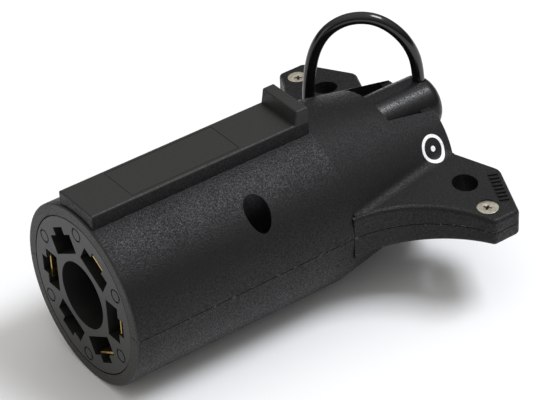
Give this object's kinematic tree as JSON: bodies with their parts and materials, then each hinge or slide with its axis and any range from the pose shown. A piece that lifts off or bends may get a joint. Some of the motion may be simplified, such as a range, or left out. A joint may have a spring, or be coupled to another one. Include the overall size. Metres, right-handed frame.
{
  "type": "trailer wiring adapter",
  "caption": "Round-nosed vehicle plug adapter with a key ridge, finger wings, a cord loop and a flat trailer outlet at the rear.",
  "frame": {"origin": "centre of the nose face, on the plug's axis at the mouth of the centre bore", "axes": "+Y along the body from the nose to the rear outlet, +Z towards the key ridge, +X towards the right wing"},
  "size_m": [0.0828, 0.1004, 0.0584],
  "materials": {
    "housing_plastic": "fine spark texture",
    "carrier_plastic": "satin",
    "outlet_rubber": "matte",
    "contact_brass": "stamped",
    "zinc_steel": "bright zinc plate",
    "crimp_aluminium": "satin",
    "cord_coating": "glossy",
    "wire_brown": "smooth",
    "wire_yellow": "smooth",
    "wire_white": "smooth",
    "wire_green": "smooth"
  },
  "bodies": {
    "root": {"upper_housing": "housing_plastic", "lower_housing": "housing_plastic", "contact_carrier": "carrier_plastic", "outlet_block": "outlet_rubber", "ground_pin": "contact_brass", "body_screws": "zinc_steel", "wing_screws": "zinc_steel", "loop_ferrules": "crimp_aluminium", "cord_loop": "cord_coating", "tail_contact": "contact_brass", "left_turn_contact": "contact_brass", "ground_contact": "contact_brass", "right_turn_contact": "contact_brass", "tail_socket": "contact_brass", "left_turn_socket": "contact_brass", "right_turn_socket": "contact_brass", "tail_wire": "wire_brown", "left_turn_wire": "wire_yellow", "ground_wire": "wire_white", "right_turn_wire": "wire_green"}
  },
  "joints": []
}
